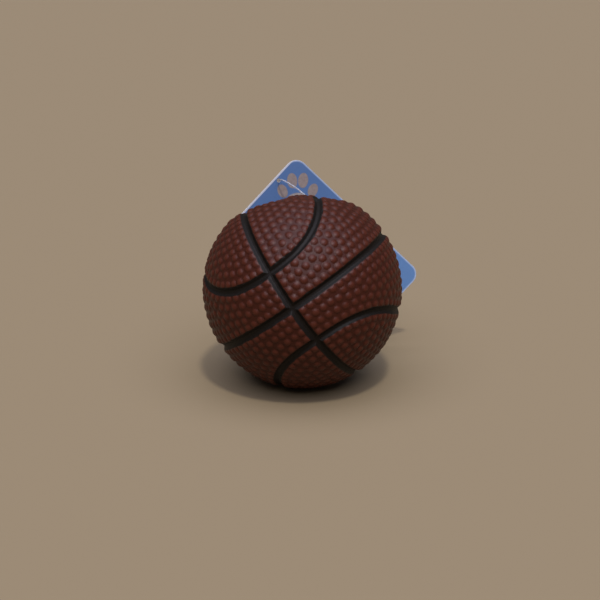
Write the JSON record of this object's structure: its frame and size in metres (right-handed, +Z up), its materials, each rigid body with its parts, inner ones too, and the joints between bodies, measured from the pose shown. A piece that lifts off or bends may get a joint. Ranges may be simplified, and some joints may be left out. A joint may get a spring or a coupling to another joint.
{
  "type": "dog ball",
  "caption": "Hollow soft vinyl dog ball with basketball channels, a squeaker plug with its reed in the wall, and a card hang tag that swings on a plastic pin.",
  "frame": {"origin": "middle of the small flat that the ball rests on", "axes": "+Z up, front of the ball facing -Y, tag behind it on +Y"},
  "size_m": [0.0846, 0.0825, 0.078],
  "materials": {
    "vinyl_skin": "soft moulded vinyl, pebbled, semi-matte, with satin black paint in the channels",
    "plug_plastic": "moulded, satin",
    "reed_plastic": "moulded, satin",
    "reed_brass": "rolled strip",
    "pin_nylon": "clear moulded nylon",
    "tag_card": "printed card, satin varnish, white cut edge"
  },
  "bodies": {
    "ball": {"ball_shell": "vinyl_skin", "squeaker_plug": "plug_plastic", "reed_block": "reed_plastic", "reed_clamp": "reed_plastic"},
    "reed": {"squeaker_reed": "reed_brass"},
    "pin": {"tag_pin": "pin_nylon"},
    "tag": {"hang_tag": "tag_card"}
  },
  "joints": [
    {"name": "reed_flex", "type": "hinge", "parent": "ball", "child": "reed", "pos_m": [-0.01942, 0.01274, 0.0302], "axis": [0.5877, 0.6145, -0.5263], "range_deg": [-1.5, 5], "stiffness_Nm_per_rad": 0.0004},
    {"name": "pin_swivel", "type": "hinge", "parent": "ball", "child": "pin", "pos_m": [0.0033, 0.02345, 0.06332], "axis": [0.0931, 0.6626, 0.7431], "continuous": true},
    {"name": "tag_swing", "type": "hinge", "parent": "pin", "child": "tag", "pos_m": [-0.00951, 0.03967, 0.07017], "axis": [0.1388, -0.9879, 0.0698], "continuous": true}
  ]
}
